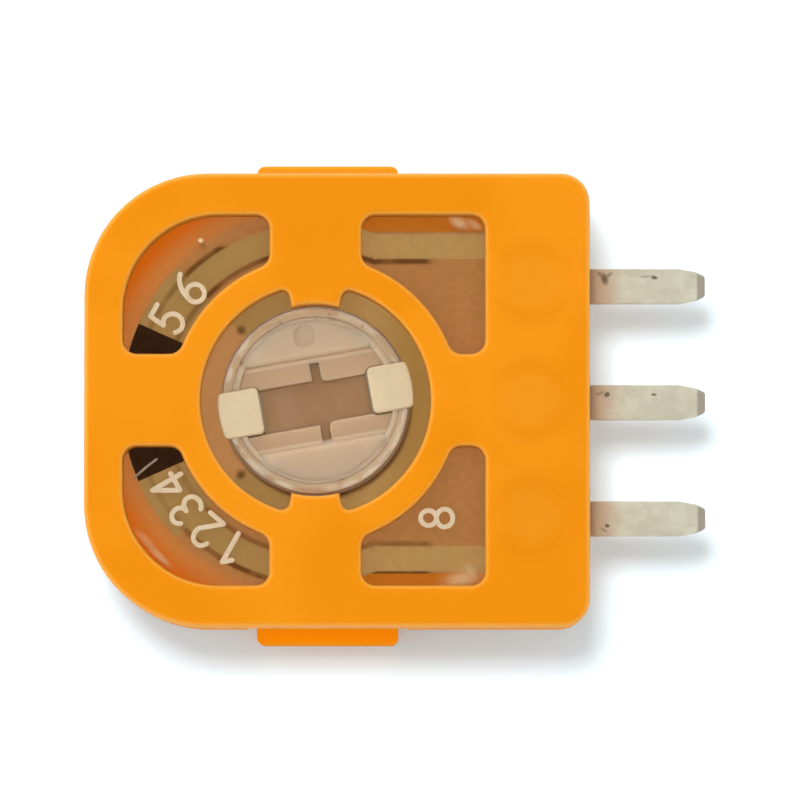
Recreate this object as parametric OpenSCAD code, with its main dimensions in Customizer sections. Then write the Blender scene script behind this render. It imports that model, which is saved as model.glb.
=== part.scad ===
// Clip-on rotary potentiometer of an analog joystick module.
// Frame: Z is the rotor's axis and points out of the outer face, X runs towards the pins.
// Z = 0 is the housing's back rim, the plane that seats on the module's frame. Sizes in mm.

/* [Body] */
// Length of the body along X
body_len = 10.8; // [10:0.1:13]
// Width of the body along Y
body_width = 9.7; // [9.2:0.1:12]
// Height of the body from the back rim to the outer face
body_height = 2.6; // [2.5:0.05:3.2]
// Distance from the rotor's axis to the rounded end
axis_to_round_end = 4.94; // [4.8:0.02:5.2]
// Corner radius at the rounded end
round_end_r = 2.62; // [1.5:0.02:3]
// Corner radius at the pin end
pin_end_r = 0.62; // [0.2:0.02:1]
// Thickness of the face plate above the board
face_plate = 0.7; // [0.5:0.05:1]

/* [Windows] */
// Width of the ring around the rotor
ring_width = 0.62; // [0.5:0.02:0.8]
// Width of the face plate outside the windows along the top and bottom edges
window_margin = 0.89; // [0.7:0.01:1.2]
// Width of the face plate outside the windows at the rounded end
window_end_margin = 0.83; // [0.7:0.01:1.2]
// Width of the spoke that carries the ring at the top and bottom
spoke_width = 1.97; // [1.4:0.01:2.4]
// Width of the spoke along X at the rounded end
end_spoke_width = 1.97; // [1.4:0.01:2.4]
// Width of the face plate outside the windows at the pin end
window_pin_margin = 2.24; // [2:0.02:2.6]
// Corner radius of the windows
window_r = 0.3; // [0.1:0.02:0.4]
// Large corner radius of the windows at the rounded end
window_round_r = 2.05; // [1:0.05:2.2]

/* [Rotor opening] */
// Gap between the drive hub and the ring
opening_gap = 0.48; // [0.4:0.01:0.6]
// Radial clearance between the drive hub and the two guide tongues
tongue_gap = 0.07; // [0.05:0.01:0.15]
// Width of a tongue at its tip
tongue_tip = 0.97; // [0.6:0.01:1.2]
// Width of a tongue at its root
tongue_root = 1.25; // [1.2:0.01:1.6]
// Radius of the round between a tongue's root and the ring
tongue_fillet = 0.17; // [0.05:0.01:0.18]
// Radial clearance between the wiper carrier and the well at the back
well_gap = 0.16; // [0.1:0.01:0.2]

/* [Board] */
// Thickness of the board
board_t = 0.4; // [0.3:0.05:0.6]
// Thickness of the printed layers
print_t = 0.04; // [0.03:0.01:0.08]
// How far the board's edge lies inside the body's edge
board_inset = 0.4; // [0.35:0.05:0.5]
// How far the insulating coat reaches past the carbon arc
coat_margin = 0.22; // [0.1:0.01:0.3]
// How far the insulating coat reaches past the leads along the top and bottom
coat_edge = 0.05; // [0:0.01:0.1]
// Radial clearance between the drive hub and its hole in the board
rotor_gap = 0.04; // [0.02:0.01:0.1]
// Distance from the ring's edge out to the carbon arc
track_gap = 0.02; // [0:0.01:0.1]
// Width of the carbon arc
carbon_width = 1.07; // [0.8:0.01:1.2]
// Half the angle of the carbon arc
carbon_half_deg = 24; // [15:1:35]
// Angle at which a lead's contact pad ends
pad_end_deg = 44; // [40:1:60]
// Width of the leads
lead_width = 0.54; // [0.4:0.02:0.7]
// Distance from the carbon arc's inner edge to the leads' centre line
lead_offset = 0.49; // [0.4:0.01:0.6]
// Width of the collector ring
collector_width = 0.94; // [0.7:0.02:1]
// Half the angle of the collector ring's gap
collector_gap_deg = 43; // [35:1:60]

/* [Terminals] */
// Distance between terminals
pin_pitch = 2.5; // [2.3:0.05:3]
// Width of a terminal
pin_width = 0.75; // [0.5:0.05:0.9]
// Thickness of a terminal
pin_t = 0.3; // [0.2:0.05:0.4]
// How far the terminals stand out of the body
pin_out = 2.5; // [1.5:0.1:4]
// Length of the tapered tip
pin_taper = 0.55; // [0.3:0.05:0.9]
// Width of the flat at the tip
pin_tip_width = 0.42; // [0.2:0.02:0.5]
// Distance from the body's pin end to the rivets
rivet_from_end = 1.26; // [1.2:0.02:1.3]
// Outside radius of a rivet's barrel
rivet_r = 0.3; // [0.2:0.02:0.34]
// Radius of a rivet's bore
rivet_bore_r = 0.16; // [0.1:0.02:0.18]
// Radius of a rivet's flange
rivet_flange_r = 0.52; // [0.42:0.02:0.54]

/* [Snap hooks] */
// Width of a snap hook along X
hook_width = 3.05; // [2:0.05:4]
// X of a snap hook's middle
hook_x = 0.24; // [-0.5:0.02:0.5]
// How far a hook stands proud of the body's edge
hook_proud = 0.34; // [0.1:0.01:0.4]
// Height at which a hook steps out from the body's side
hook_step = 0.3; // [0.1:0.05:0.8]
// Thickness of a hook's arm
hook_t = 0.69; // [0.4:0.01:0.75]
// Thickness of the frame sheet that the hooks grip
sheet_t = 0.5; // [0.4:0.05:0.8]
// How far a hook's barb reaches in
barb = 0.4; // [0.2:0.05:0.45]
// Gap behind and beside a hook's arm, in which it flexes
hook_gap = 0.2; // [0.15:0.05:0.4]
// Depth of the relief across the back between the hooks
back_relief = 0.1; // [0.05:0.05:0.2]
// How far the hooks reach past the back rim
hook_reach = 1.1; // [1:0.05:1.6]

/* [Rotor] */
// Angle of the rotor at rest, in degrees
rotor_deg = 10; // [-20:1:20]
// Radius of the drive hub's disc
hub_r = 1.98; // [1.6:0.01:2]
// Width of the hub's raised rim
hub_rim = 0.17; // [0.15:0.01:0.3]
// Width of the groove between the rim and the raised halves
hub_groove = 0.1; // [0.02:0.01:0.15]
// Width of the slots in the hub, which take the drive blade
slot_width = 0.95; // [0.7:0.01:1]
// Width of the outer slot's narrower half
slot_narrow = 0.86; // [0.6:0.01:0.9]
// Y of the outer slot's middle
slot_y = -0.04; // [-0.1:0.01:0.1]
// Width of the notch across the outer slot
slot_notch = 0.2; // [0.1:0.01:0.3]
// X of the notch's middle
notch_x = 0.1; // [-0.2:0.01:0.2]
// Radius of the narrower half's corners at the notch
notch_round = 0.13; // [0.05:0.01:0.2]
// Half the distance between the straight edges of the hub's raised halves
half_gap = 0.92; // [0.8:0.01:1.1]
// How far the carrier's edge lies outside the wiper's outer finger
carrier_margin = 0.12; // [0.05:0.01:0.2]
// How far the carrier's catches reach over the board
catch_overlap = 0.08; // [0.05:0.01:0.15]
// Width of the carrier's catches
catch_width = 1; // [0.6:0.01:1]
// Corner radius of the carrier's catches
catch_round = 0.11; // [0.05:0.01:0.2]
// Gap between the catches' posts and the drive hub
post_gap = 0.02; // [0.01:0.01:0.05]
// Width of a wiper finger
finger_width = 0.2; // [0.1:0.02:0.24]

/* [Hidden] */
$fn = 96;
eps = 0.01;

xl = -axis_to_round_end;
xr = body_len - axis_to_round_end;
hy = body_width / 2;

board_top = body_height - face_plate;
board_bot = board_top - board_t;
print_bot = board_bot - print_t;
pin_top = print_bot;
pin_bot = pin_top - pin_t;
rivet_cap = 0.1;

hook_root = max(hook_t - hook_proud, 0.28);
notch_depth = hook_root + hook_gap;
hook_free = pin_bot + 0.04;

opening_r = hub_r + opening_gap;
ring_outer_r = opening_r + ring_width;
tongue_r = hub_r + tongue_gap;
board_hole_r = hub_r + rotor_gap;
catch_r = board_hole_r + catch_overlap;
carbon_in_r = ring_outer_r + track_gap;
carbon_out_r = carbon_in_r + carbon_width;
lead_r = carbon_in_r + lead_offset;
run_x = lead_r * cos(69.3);
run_y = lead_r * sin(69.3);
pad_low = min(pin_pitch - 0.6, run_y - lead_width / 2);
pad_high = max(run_y, pin_pitch) + lead_width / 2;
coat_r = carbon_out_r + coat_margin;
coat_half = pad_high + coat_edge;
collector_r = board_hole_r + collector_width;

finger_step = finger_width + 0.08;
finger_far = carbon_in_r + finger_step + finger_width;
carrier_r = finger_far + carrier_margin;
well_r = carrier_r + well_gap;

wx0 = xl + window_end_margin;
wx1 = -spoke_width / 2;
wx2 = spoke_width / 2;
wx3 = xr - window_pin_margin;
wy0 = end_spoke_width / 2;
wy1 = hy - window_margin;

rivet_x = xr - rivet_from_end;
pad_x0 = rivet_x - rivet_flange_r - 0.1;
pad_x1 = rivet_x + rivet_flange_r + 0.08;
pad_width = max(1.25, pin_width + 0.2);

hub_bottom = 0.1;
boss_r = hub_r - 0.48;
carrier_bot = 0.35;
carrier_top = 1.0;
hub_ledge = board_top + 0.05;
hub_top = board_top + 0.3;
hub_rim_top = board_top + 0.35;
hub_floor = board_bot + 0.1;
socket_top = hub_floor - 0.25;
catch_top = board_top + 0.4;
wiper_t = 0.08;
catch_gap = 0.03;
post_in = hub_r - 0.8;
slot_end = post_in + 0.05;
notch_end = half_gap - 0.03 - abs(slot_y);

function arc(c, r, a0, a1, n) =
    [for (i = [0:n]) let (a = a0 + (a1 - a0) * i / n) [c[0] + r * cos(a), c[1] + r * sin(a)]];

// The body's outline seen from the outer face, moved in by d.
function body_pts(d) = concat(
    arc([xr - pin_end_r, pin_end_r - hy], max(pin_end_r - d, 0.15), -90, 0, 8),
    arc([xr - pin_end_r, hy - pin_end_r], max(pin_end_r - d, 0.15), 0, 90, 8),
    arc([xl + round_end_r, hy - round_end_r], round_end_r - d, 90, 180, 20),
    arc([xl + round_end_r, round_end_r - hy], round_end_r - d, 180, 270, 20));

// Centres of the fillets where a window meets the ring.
fr = ring_outer_r + window_r;
c_low_y = wy0 + window_r;
c_low_x = sqrt(fr * fr - c_low_y * c_low_y);
c_left_x = wx1 - window_r;
c_left_y = sqrt(fr * fr - c_left_x * c_left_x);
c_right_x = wx2 + window_r;
c_right_y = sqrt(fr * fr - c_right_x * c_right_x);
a_low = atan2(c_low_y, c_low_x);
a_left = atan2(c_left_y, c_left_x);
a_right = atan2(c_right_y, c_right_x);

// Where the line from point p along the unit direction u leaves a circle of radius r about the axis.
function on_circle(p, u, r) = p + u * (sqrt(pow(p * u, 2) - p * p + r * r) - p * u);

// A tongue's side, and the centre of the round between its root and the ring's inner edge.
side_a = [tongue_tip / 2, tongue_r - 0.2];
side_b = [tongue_root / 2, opening_r + 0.1];
side_u = (side_b - side_a) / norm(side_b - side_a);
side_n = [side_u[1], -side_u[0]];
tip_c = on_circle(side_a, side_u, tongue_r);
root_c = on_circle(side_a + tongue_fillet * side_n, side_u, opening_r - tongue_fillet);
a_tip = atan2(tip_c[1], tip_c[0]);
a_root = atan2(root_c[1], root_c[0]);
a_side = atan2(-side_n[1], -side_n[0]);

// The rotor opening's outline from the X axis to the Y axis, and the same in all four quarters.
opening_quarter = concat(
    arc([0, 0], opening_r, 0, a_root, 18),
    arc(root_c, tongue_fillet, a_root, a_side, 8),
    arc([0, 0], tongue_r, a_tip, 90, 4));

function but_last(pts) = [for (i = [0:len(pts) - 2]) pts[i]];
function flipped(pts, sx, sy) = let (n = len(pts))
    [for (i = [0:n - 1]) let (p = pts[sx * sy < 0 ? n - 1 - i : i]) [sx * p[0], sy * p[1]]];
function opening_pts() = concat(
    but_last(opening_quarter),
    but_last(flipped(opening_quarter, -1, 1)),
    but_last(flipped(opening_quarter, -1, -1)),
    but_last(flipped(opening_quarter, 1, -1)));

function window_round_pts() = concat(
    arc([-c_low_x, c_low_y], window_r, 270, 360 - a_low, 6),
    arc([0, 0], ring_outer_r, 180 - a_low, a_left, 18),
    arc([c_left_x, c_left_y], window_r, a_left + 180, 360, 6),
    arc([wx1 - window_r, wy1 - window_r], window_r, 0, 90, 8),
    arc([wx0 + window_round_r, wy1 - window_round_r], window_round_r, 90, 180, 20),
    arc([wx0 + window_r, wy0 + window_r], window_r, 180, 270, 8));

function window_pin_pts() = concat(
    arc([wx3 - window_r, wy0 + window_r], window_r, 270, 360, 8),
    arc([wx3 - window_r, wy1 - window_r], window_r, 0, 90, 8),
    arc([wx2 + window_r, wy1 - window_r], window_r, 90, 180, 8),
    arc([c_right_x, c_right_y], window_r, 180, 180 + a_right, 6),
    arc([0, 0], ring_outer_r, a_right, a_low, 18),
    arc([c_low_x, c_low_y], window_r, 180 + a_low, 270, 6));

module both_y() {
    children();
    mirror([0, 1, 0]) children();
}

module ring2d(r_in, r_out) {
    difference() {
        circle(r = r_out);
        circle(r = r_in);
    }
}

// A wedge about the axis from a0 to a1, less than 180 degrees wide.
module wedge2d(a0, a1) {
    far = 12;
    mid = (a0 + a1) / 2;
    polygon([[0, 0],
             [far * cos(a0), far * sin(a0)],
             [far * cos(mid), far * sin(mid)],
             [far * cos(a1), far * sin(a1)]]);
}

module rivet_points() {
    for (i = [-1:1]) translate([rivet_x, i * pin_pitch, 0]) children();
}

module board2d() {
    difference() {
        polygon(body_pts(board_inset));
        circle(r = board_hole_r);
        rivet_points() circle(r = rivet_r);
    }
}

// The outline of everything printed: a disc on the rounded side, which ends behind the spokes, and
// a strip towards the pins.
module print2d() {
    disc_end = wx2 - 0.1;
    intersection() {
        polygon(body_pts(board_inset));
        union() {
            intersection() {
                circle(r = coat_r);
                translate([disc_end - body_len, -body_width]) square([body_len, 2 * body_width]);
            }
            translate([0, -coat_half]) square([body_len, 2 * coat_half]);
        }
    }
}

module carbon2d() {
    intersection() {
        ring2d(carbon_in_r, carbon_out_r);
        wedge2d(180 - carbon_half_deg, 180 + carbon_half_deg);
    }
}

// The lead on the +Y side: a pad beside the carbon, a band around the ring and a run to the rivet.
module lead2d() {
    difference() {
        union() {
            intersection() {
                ring2d(carbon_in_r, carbon_out_r);
                wedge2d(180 - pad_end_deg, 180 - carbon_half_deg);
            }
            intersection() {
                ring2d(lead_r - lead_width / 2, lead_r + lead_width / 2);
                wedge2d(69.3, 180 - pad_end_deg + 1);
            }
            translate([run_x - 0.05, run_y - lead_width / 2])
                square([rivet_x - 0.85 - run_x, lead_width]);
            translate([rivet_x - 0.95, pad_low]) square([1.45, pad_high - pad_low]);
        }
        rivet_points() circle(r = rivet_r);
    }
}

module collector2d() {
    difference() {
        union() {
            difference() {
                circle(r = collector_r);
                wedge2d(180 - collector_gap_deg, 180 + collector_gap_deg);
            }
            translate([board_hole_r, -0.6]) square([rivet_x + 0.5 - board_hole_r, 1.2]);
        }
        circle(r = board_hole_r);
        rivet_points() circle(r = rivet_r);
    }
}

module print_layer() {
    translate([0, 0, print_bot]) linear_extrude(height = print_t) children();
}

module terminal_solid() {
    x_tip = xr + pin_out;
    translate([0, 0, pin_bot]) linear_extrude(height = pin_t)
        polygon([[pad_x0, -pad_width / 2], [pad_x1, -pad_width / 2], [pad_x1, -pin_width / 2],
                 [x_tip - pin_taper, -pin_width / 2], [x_tip - pin_taper * 0.35, -pin_width * 0.41],
                 [x_tip, -pin_tip_width / 2], [x_tip, pin_tip_width / 2],
                 [x_tip - pin_taper * 0.35, pin_width * 0.41], [x_tip - pin_taper, pin_width / 2],
                 [pad_x1, pin_width / 2], [pad_x1, pad_width / 2], [pad_x0, pad_width / 2]]);
}

module terminal(i) {
    color([0.82, 0.81, 0.74]) difference() {
        translate([0, i * pin_pitch, 0]) terminal_solid();
        translate([rivet_x, i * pin_pitch, pin_bot - 1]) cylinder(r = rivet_r, h = pin_t + 2);
    }
}

module rivet_envelope() {
    translate([0, 0, pin_bot]) cylinder(r = rivet_r, h = board_top - pin_bot);
    translate([0, 0, board_top]) cylinder(r = rivet_flange_r, h = rivet_cap);
    translate([0, 0, pin_bot - rivet_cap]) cylinder(r = rivet_flange_r, h = rivet_cap);
}

module rivet(i) {
    color([0.8, 0.72, 0.5]) translate([rivet_x, i * pin_pitch, 0]) difference() {
        rivet_envelope();
        translate([0, 0, pin_bot - 1]) cylinder(r = rivet_bore_r, h = board_top - pin_bot + 2);
    }
}

// The hook's profile across Y and Z: a root inside the wall, an arm that steps out, and a barb.
module hook_profile() {
    y_out = hy + hook_proud;
    y_wall = hy - 0.02;
    y_in = y_out - hook_t;
    y_barb = y_in - barb;
    z_root = board_top - 0.2;
    polygon([[y_wall, z_root], [hy - 0.3, z_root], [hy - notch_depth, hook_free + 0.1],
             [hy - hook_root, hook_free], [min(y_in, hy - hook_root), hook_step], [y_in, 0],
             [y_in, -sheet_t], [y_barb, -sheet_t], [y_barb, -sheet_t - 0.1],
             [y_in - 0.05, -hook_reach], [y_out - 0.2, -hook_reach], [y_out, -hook_reach + 0.2],
             [y_out, hook_step - 0.05], [y_out - 0.05, hook_step], [y_wall, hook_step]]);
}

// The hook on the +Y side.
module hook() {
    y_out = hy + hook_proud;
    rr = 0.17;
    x0 = hook_x - hook_width / 2;
    x1 = hook_x + hook_width / 2;
    intersection() {
        translate([x0, 0, 0]) rotate([90, 0, 90]) linear_extrude(height = hook_width) hook_profile();
        translate([0, 0, -3]) linear_extrude(height = 8)
            polygon(concat([[x0, 3], [x1, 3]], arc([x1 - rr, y_out - rr], rr, 0, 90, 6),
                           arc([x0 + rr, y_out - rr], rr, 90, 180, 6)));
    }
}

module housing() {
    top = body_height + 1;
    sink = 0.04;
    sink_r = (0.49 + sink * sink) / (2 * sink);
    color([0.98, 0.55, 0.03]) difference() {
        union() {
            difference() {
                linear_extrude(height = body_height) polygon(body_pts(0));
                both_y() translate([hook_x - hook_width / 2 - hook_gap, hy - notch_depth, -1])
                    cube([hook_width + 2 * hook_gap, 2, hook_free + 1]);
            }
            both_y() hook();
        }
        both_y() translate([0, 0, board_top]) linear_extrude(height = top) polygon(window_round_pts());
        both_y() translate([0, 0, board_top]) linear_extrude(height = top) polygon(window_pin_pts());
        translate([0, 0, board_top]) linear_extrude(height = top) polygon(opening_pts());
        translate([0, 0, board_bot]) linear_extrude(height = board_t) polygon(body_pts(board_inset));
        translate([0, 0, print_bot]) linear_extrude(height = board_t + print_t) print2d();
        translate([0, 0, -1]) cylinder(r = well_r, h = board_bot + 1.01);
        translate([0, 0, -eps]) cylinder(r1 = well_r + 0.08, r2 = well_r, h = 0.08);
        translate([hook_x - hook_width / 2 - hook_gap, -hy + notch_depth - eps, -1])
            cube([hook_width + 2 * hook_gap, 2 * (hy - notch_depth + eps), back_relief + 1]);
        rivet_points() rivet_envelope();
        rivet_points() translate([0, 0, -1])
            cylinder(r = rivet_flange_r + 0.06, h = pin_bot + 1 - rivet_cap);
        rivet_points() translate([-rivet_x, 0, 0]) terminal_solid();
        rivet_points() translate([0, 0, body_height - sink + sink_r]) sphere(r = sink_r);
        both_y() translate([rivet_x - 1.1, hy - 1.3, -1]) cylinder(r = 0.5, h = 2);
        both_y() translate([xl + 1.64, hy - 1.55, -1]) cylinder(r = 0.5, h = 2);
    }
}

module resistor_board() {
    color([0.62, 0.38, 0.18]) translate([0, 0, board_bot]) linear_extrude(height = board_t) board2d();
}

module insulating_coat() {
    color([0.7, 0.45, 0.25]) print_layer() difference() {
        intersection() {
            board2d();
            print2d();
        }
        carbon2d();
        both_y() lead2d();
        collector2d();
    }
}

module carbon_track() {
    color([0.08, 0.06, 0.05]) print_layer() carbon2d();
}

module lead_trace_1() {
    color([0.6, 0.53, 0.35]) print_layer() lead2d();
}

module lead_trace_3() {
    color([0.6, 0.53, 0.35]) mirror([0, 1, 0]) print_layer() lead2d();
}

module collector_trace() {
    color([0.58, 0.5, 0.3]) print_layer() collector2d();
}

module terminal_1() { terminal(1); }
module terminal_2() { terminal(0); }
module terminal_3() { terminal(-1); }
module rivet_1() { rivet(1); }
module rivet_2() { rivet(0); }
module rivet_3() { rivet(-1); }

module hub_half2d() {
    intersection() {
        circle(r = hub_r - hub_rim - hub_groove);
        translate([-3, half_gap]) square([6, 3]);
    }
}

// The outer slot: it runs from catch to catch, wider on the -X side, with a notch across it.
module slot2d() {
    round_x = slot_notch / 2 + notch_round;
    round_y = slot_narrow / 2 + notch_round;
    translate([notch_x, slot_y]) {
        translate([-slot_end - notch_x, -slot_width / 2]) square([slot_end + notch_x, slot_width]);
        translate([0, -slot_narrow / 2]) square([slot_end - notch_x, slot_narrow]);
        translate([-slot_notch / 2, -notch_end]) square([slot_notch, 2 * notch_end]);
        both_y() difference() {
            square([round_x, round_y]);
            translate([round_x, round_y]) circle(r = notch_round);
        }
    }
}

// A catch's plan on the +X side, grown by d and running out past the hub's edge.
module post2d(d) {
    r = catch_round + d;
    w = catch_width / 2 + d;
    x = post_in - d;
    polygon(concat(arc([x + r, w - r], r, 90, 180, 6), arc([x + r, r - w], r, 180, 270, 6),
                   [[post_in + 2, -w], [post_in + 2, w]]));
}

// A catch's plan over the board, with all four corners round.
module catch2d() {
    r = catch_round;
    w = catch_width / 2;
    x = sqrt(pow(catch_r - r, 2) - pow(w - r, 2));
    a = atan2(w - r, x);
    polygon(concat(arc([post_in + r, w - r], r, 90, 180, 6), arc([post_in + r, r - w], r, 180, 270, 6),
                   arc([x, r - w], r, -90, -a, 6), arc([0, 0], catch_r, -a, a, 10),
                   arc([x, w - r], r, a, 90, 6)));
}

module drive_hub() {
    color([0.85, 0.78, 0.68]) rotate([0, 0, rotor_deg]) difference() {
        union() {
            translate([0, 0, hub_bottom]) cylinder(r = boss_r, h = carrier_top - hub_bottom + 0.1);
            translate([0, 0, carrier_top]) cylinder(r = hub_r, h = hub_ledge - carrier_top);
            translate([0, 0, hub_ledge]) linear_extrude(height = hub_rim_top - hub_ledge)
                ring2d(hub_r - hub_rim, hub_r);
            translate([0, 0, hub_ledge]) linear_extrude(height = hub_top - hub_ledge) both_y() hub_half2d();
        }
        translate([0, 0, hub_floor]) linear_extrude(height = 2) slot2d();
        translate([-post_in - 0.01, -slot_width / 2, -1])
            cube([2 * post_in + 0.02, slot_width, socket_top + 1]);
        for (a = [0, 180]) rotate([0, 0, a])
            translate([0, 0, -1]) linear_extrude(height = 6) post2d(post_gap);
        translate([0, hub_r - 0.58, hub_top - 0.05]) cylinder(r = 0.24, h = 1);
    }
}

module catch_post() {
    translate([0, 0, carrier_top - 0.2]) linear_extrude(height = catch_top - carrier_top + 0.1)
        intersection() {
            circle(r = hub_r);
            post2d(0);
        }
    translate([0, 0, board_top + catch_gap]) linear_extrude(height = catch_top - board_top - catch_gap)
        catch2d();
}

module wiper_carrier() {
    color([0.9, 0.84, 0.7]) rotate([0, 0, rotor_deg]) {
        difference() {
            translate([0, 0, carrier_bot]) cylinder(r = carrier_r, h = carrier_top - carrier_bot);
            translate([0, 0, -1]) cylinder(r = boss_r, h = 4);
            translate([0, 0, carrier_bot - 0.01]) linear_extrude(height = 0.26)
                ring2d(boss_r + 0.7, carrier_r - 0.5);
        }
        catch_post();
        rotate([0, 0, 180]) catch_post();
    }
}

// A contact finger with its root at y = -0.9 and its tip under the track at y = 0.
module finger() {
    z0 = carrier_top;
    zc = print_bot - 0.02;
    rotate([90, 0, 90]) linear_extrude(height = finger_width)
        polygon([[-0.95, z0], [-0.8, z0], [-0.05, zc - wiper_t - 0.03], [0.05, zc - wiper_t - 0.03],
                 [0.28, zc - wiper_t - 0.14], [0.28, zc - 0.14], [0.06, zc], [-0.06, zc],
                 [-0.85, z0 + wiper_t], [-0.95, z0 + wiper_t]]);
}

module wiper() {
    far_x = finger_far;
    near_x = board_hole_r + 0.26;
    color([0.86, 0.82, 0.66]) rotate([0, 0, rotor_deg]) {
        translate([0, 0, carrier_top]) linear_extrude(height = wiper_t) difference() {
            union() {
                ring2d(board_hole_r + 0.06, carbon_in_r + 0.1);
                intersection() {
                    ring2d(board_hole_r + 0.06, carrier_r - 0.1);
                    translate([-far_x - 0.2, -2]) square([1.5, 1.1]);
                }
            }
            translate([near_x - 0.06, -0.95]) square([2 * finger_step + 0.04, 1.4]);
            translate([-far_x - 0.3, -0.9]) square([2 * finger_step + 0.22, 1.8]);
        }
        translate([-far_x, 0, 0]) finger();
        translate([-far_x + finger_step, 0, 0]) finger();
        translate([near_x, 0, 0]) finger();
        translate([near_x + finger_step, 0, 0]) finger();
    }
}

housing();
resistor_board();
insulating_coat();
carbon_track();
lead_trace_1();
lead_trace_3();
collector_trace();
terminal_1();
terminal_2();
terminal_3();
rivet_1();
rivet_2();
rivet_3();
drive_hub();
wiper_carrier();
wiper();
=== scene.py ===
import math

import bmesh
import bpy
from mathutils import Matrix, Vector, noise


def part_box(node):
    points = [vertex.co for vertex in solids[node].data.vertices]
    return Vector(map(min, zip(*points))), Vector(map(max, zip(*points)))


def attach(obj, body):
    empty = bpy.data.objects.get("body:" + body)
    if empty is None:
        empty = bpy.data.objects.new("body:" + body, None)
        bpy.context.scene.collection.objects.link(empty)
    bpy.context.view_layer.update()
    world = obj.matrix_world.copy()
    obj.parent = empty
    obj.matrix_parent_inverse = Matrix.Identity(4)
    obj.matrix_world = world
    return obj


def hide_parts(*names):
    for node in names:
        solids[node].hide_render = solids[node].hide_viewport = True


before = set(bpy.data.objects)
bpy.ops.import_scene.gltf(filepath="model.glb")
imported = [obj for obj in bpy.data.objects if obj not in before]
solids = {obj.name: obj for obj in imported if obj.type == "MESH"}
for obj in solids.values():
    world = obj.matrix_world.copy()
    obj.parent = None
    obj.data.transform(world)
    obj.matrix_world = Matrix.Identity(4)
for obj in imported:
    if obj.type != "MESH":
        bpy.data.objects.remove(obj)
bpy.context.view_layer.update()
scene = bpy.context.scene

# Shapes are made in millimetres and brought to metres when they are kept.
MM = 0.001


def span(node):
    """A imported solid's lowest and highest corners in millimetres."""
    return [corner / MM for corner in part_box(node)]


FACE_Z = span("housing")[1].z
FOOT_Z = span("housing")[0].z
BOARD_BACK_Z, BOARD_Z = (corner.z for corner in span("resistor_board"))
HUB_Z = span("drive_hub")[1].z
SIDE_WALL_Y = 4.84
PIN_WALL_X = 5.86
RIVETS = [(low + high) / 2 for low, high in (span(f"rivet_{i}") for i in (1, 2, 3))]
LEAD_R = 3.59
LEAD_HALF = 0.27
LEAD_BEND = math.radians(69.3)
LEAD_X, LEAD_Y = LEAD_R * math.cos(LEAD_BEND), LEAD_R * math.sin(LEAD_BEND)
COAT_R = 4.39
COAT_END_X = 0.6
COLLECTOR_END = (1.61, 1.55)
ROTOR_TURN = math.radians(10)
HUB_GROOVE_R = 1.79
HUB_CREST_R = 1.92
HUB_HALF_Y = 0.92


# ---------------------------------------------------------------- studio
# How much light the outer face gets, and how bright the tent is at its foot and straight above.
FACE_LIGHT = 1.3
SKY_LOW = 1.3
SKY_HIGH = 0.03
CAMERA_DISTANCE = 0.156
TABLE_HALF = 1.5


def studio_camera():
    data = bpy.data.cameras.new("studio_camera")
    data.lens = 329.2
    data.clip_start = 0.005
    data.clip_end = 10
    camera = bpy.data.objects.new("studio_camera", data)
    scene.collection.objects.link(camera)
    lean = math.radians(3.1)
    aim = Vector((1.804, -0.008, FACE_Z)) * MM
    camera.location = aim + CAMERA_DISTANCE * Vector((0, -math.sin(lean), math.cos(lean)))
    camera.rotation_euler = (lean, 0, 0)
    scene.camera = camera


def studio_sky():
    """A light tent: bright all round, dim straight above, where the camera looks in."""
    world = bpy.data.worlds.new("light_tent")
    world.use_nodes = True
    nodes, links = world.node_tree.nodes, world.node_tree.links
    ray = nodes.new("ShaderNodeTexCoord")
    split = nodes.new("ShaderNodeSeparateXYZ")
    links.new(ray.outputs["Generated"], split.inputs[0])
    fade = nodes.new("ShaderNodeMapRange")
    fade.interpolation_type = "SMOOTHSTEP"
    for name, value in (("From Min", 0.3), ("From Max", 0.7), ("To Min", SKY_LOW), ("To Max", SKY_HIGH)):
        fade.inputs[name].default_value = value
    links.new(split.outputs["Z"], fade.inputs["Value"])
    side = nodes.new("ShaderNodeMapRange")
    for name, value in (("From Min", -1), ("From Max", 1), ("To Min", 1.15), ("To Max", 1.0)):
        side.inputs[name].default_value = value
    links.new(split.outputs["X"], side.inputs["Value"])
    strength = nodes.new("ShaderNodeMath")
    strength.operation = "MULTIPLY"
    links.new(fade.outputs[0], strength.inputs[0])
    links.new(side.outputs[0], strength.inputs[1])
    links.new(strength.outputs[0], nodes["Background"].inputs["Strength"])
    nodes["Background"].inputs["Color"].default_value = (1, 1, 1, 1)
    scene.world = world


def studio_lamp(name, towards, distance, size, watts, glossy):
    """A round softbox aimed at the part; glossy says whether it shows in reflections."""
    data = bpy.data.lights.new(name, "AREA")
    data.shape = "DISK"
    data.size = size
    data.energy = watts
    lamp = bpy.data.objects.new(name, data)
    scene.collection.objects.link(lamp)
    lamp.location = distance * Vector(towards).normalized()
    lamp.rotation_euler = (-lamp.location).to_track_quat("-Z", "Y").to_euler()
    lamp.visible_glossy = glossy
    return lamp


def light_group(name, things, state):
    """A group that a lamp is kept to, with state INCLUDE, or passes over, with EXCLUDE."""
    group = bpy.data.collections.new(name)
    for thing in things:
        group.objects.link(thing)
    for member in group.collection_objects:
        member.light_linking.link_state = state
    return group


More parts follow.
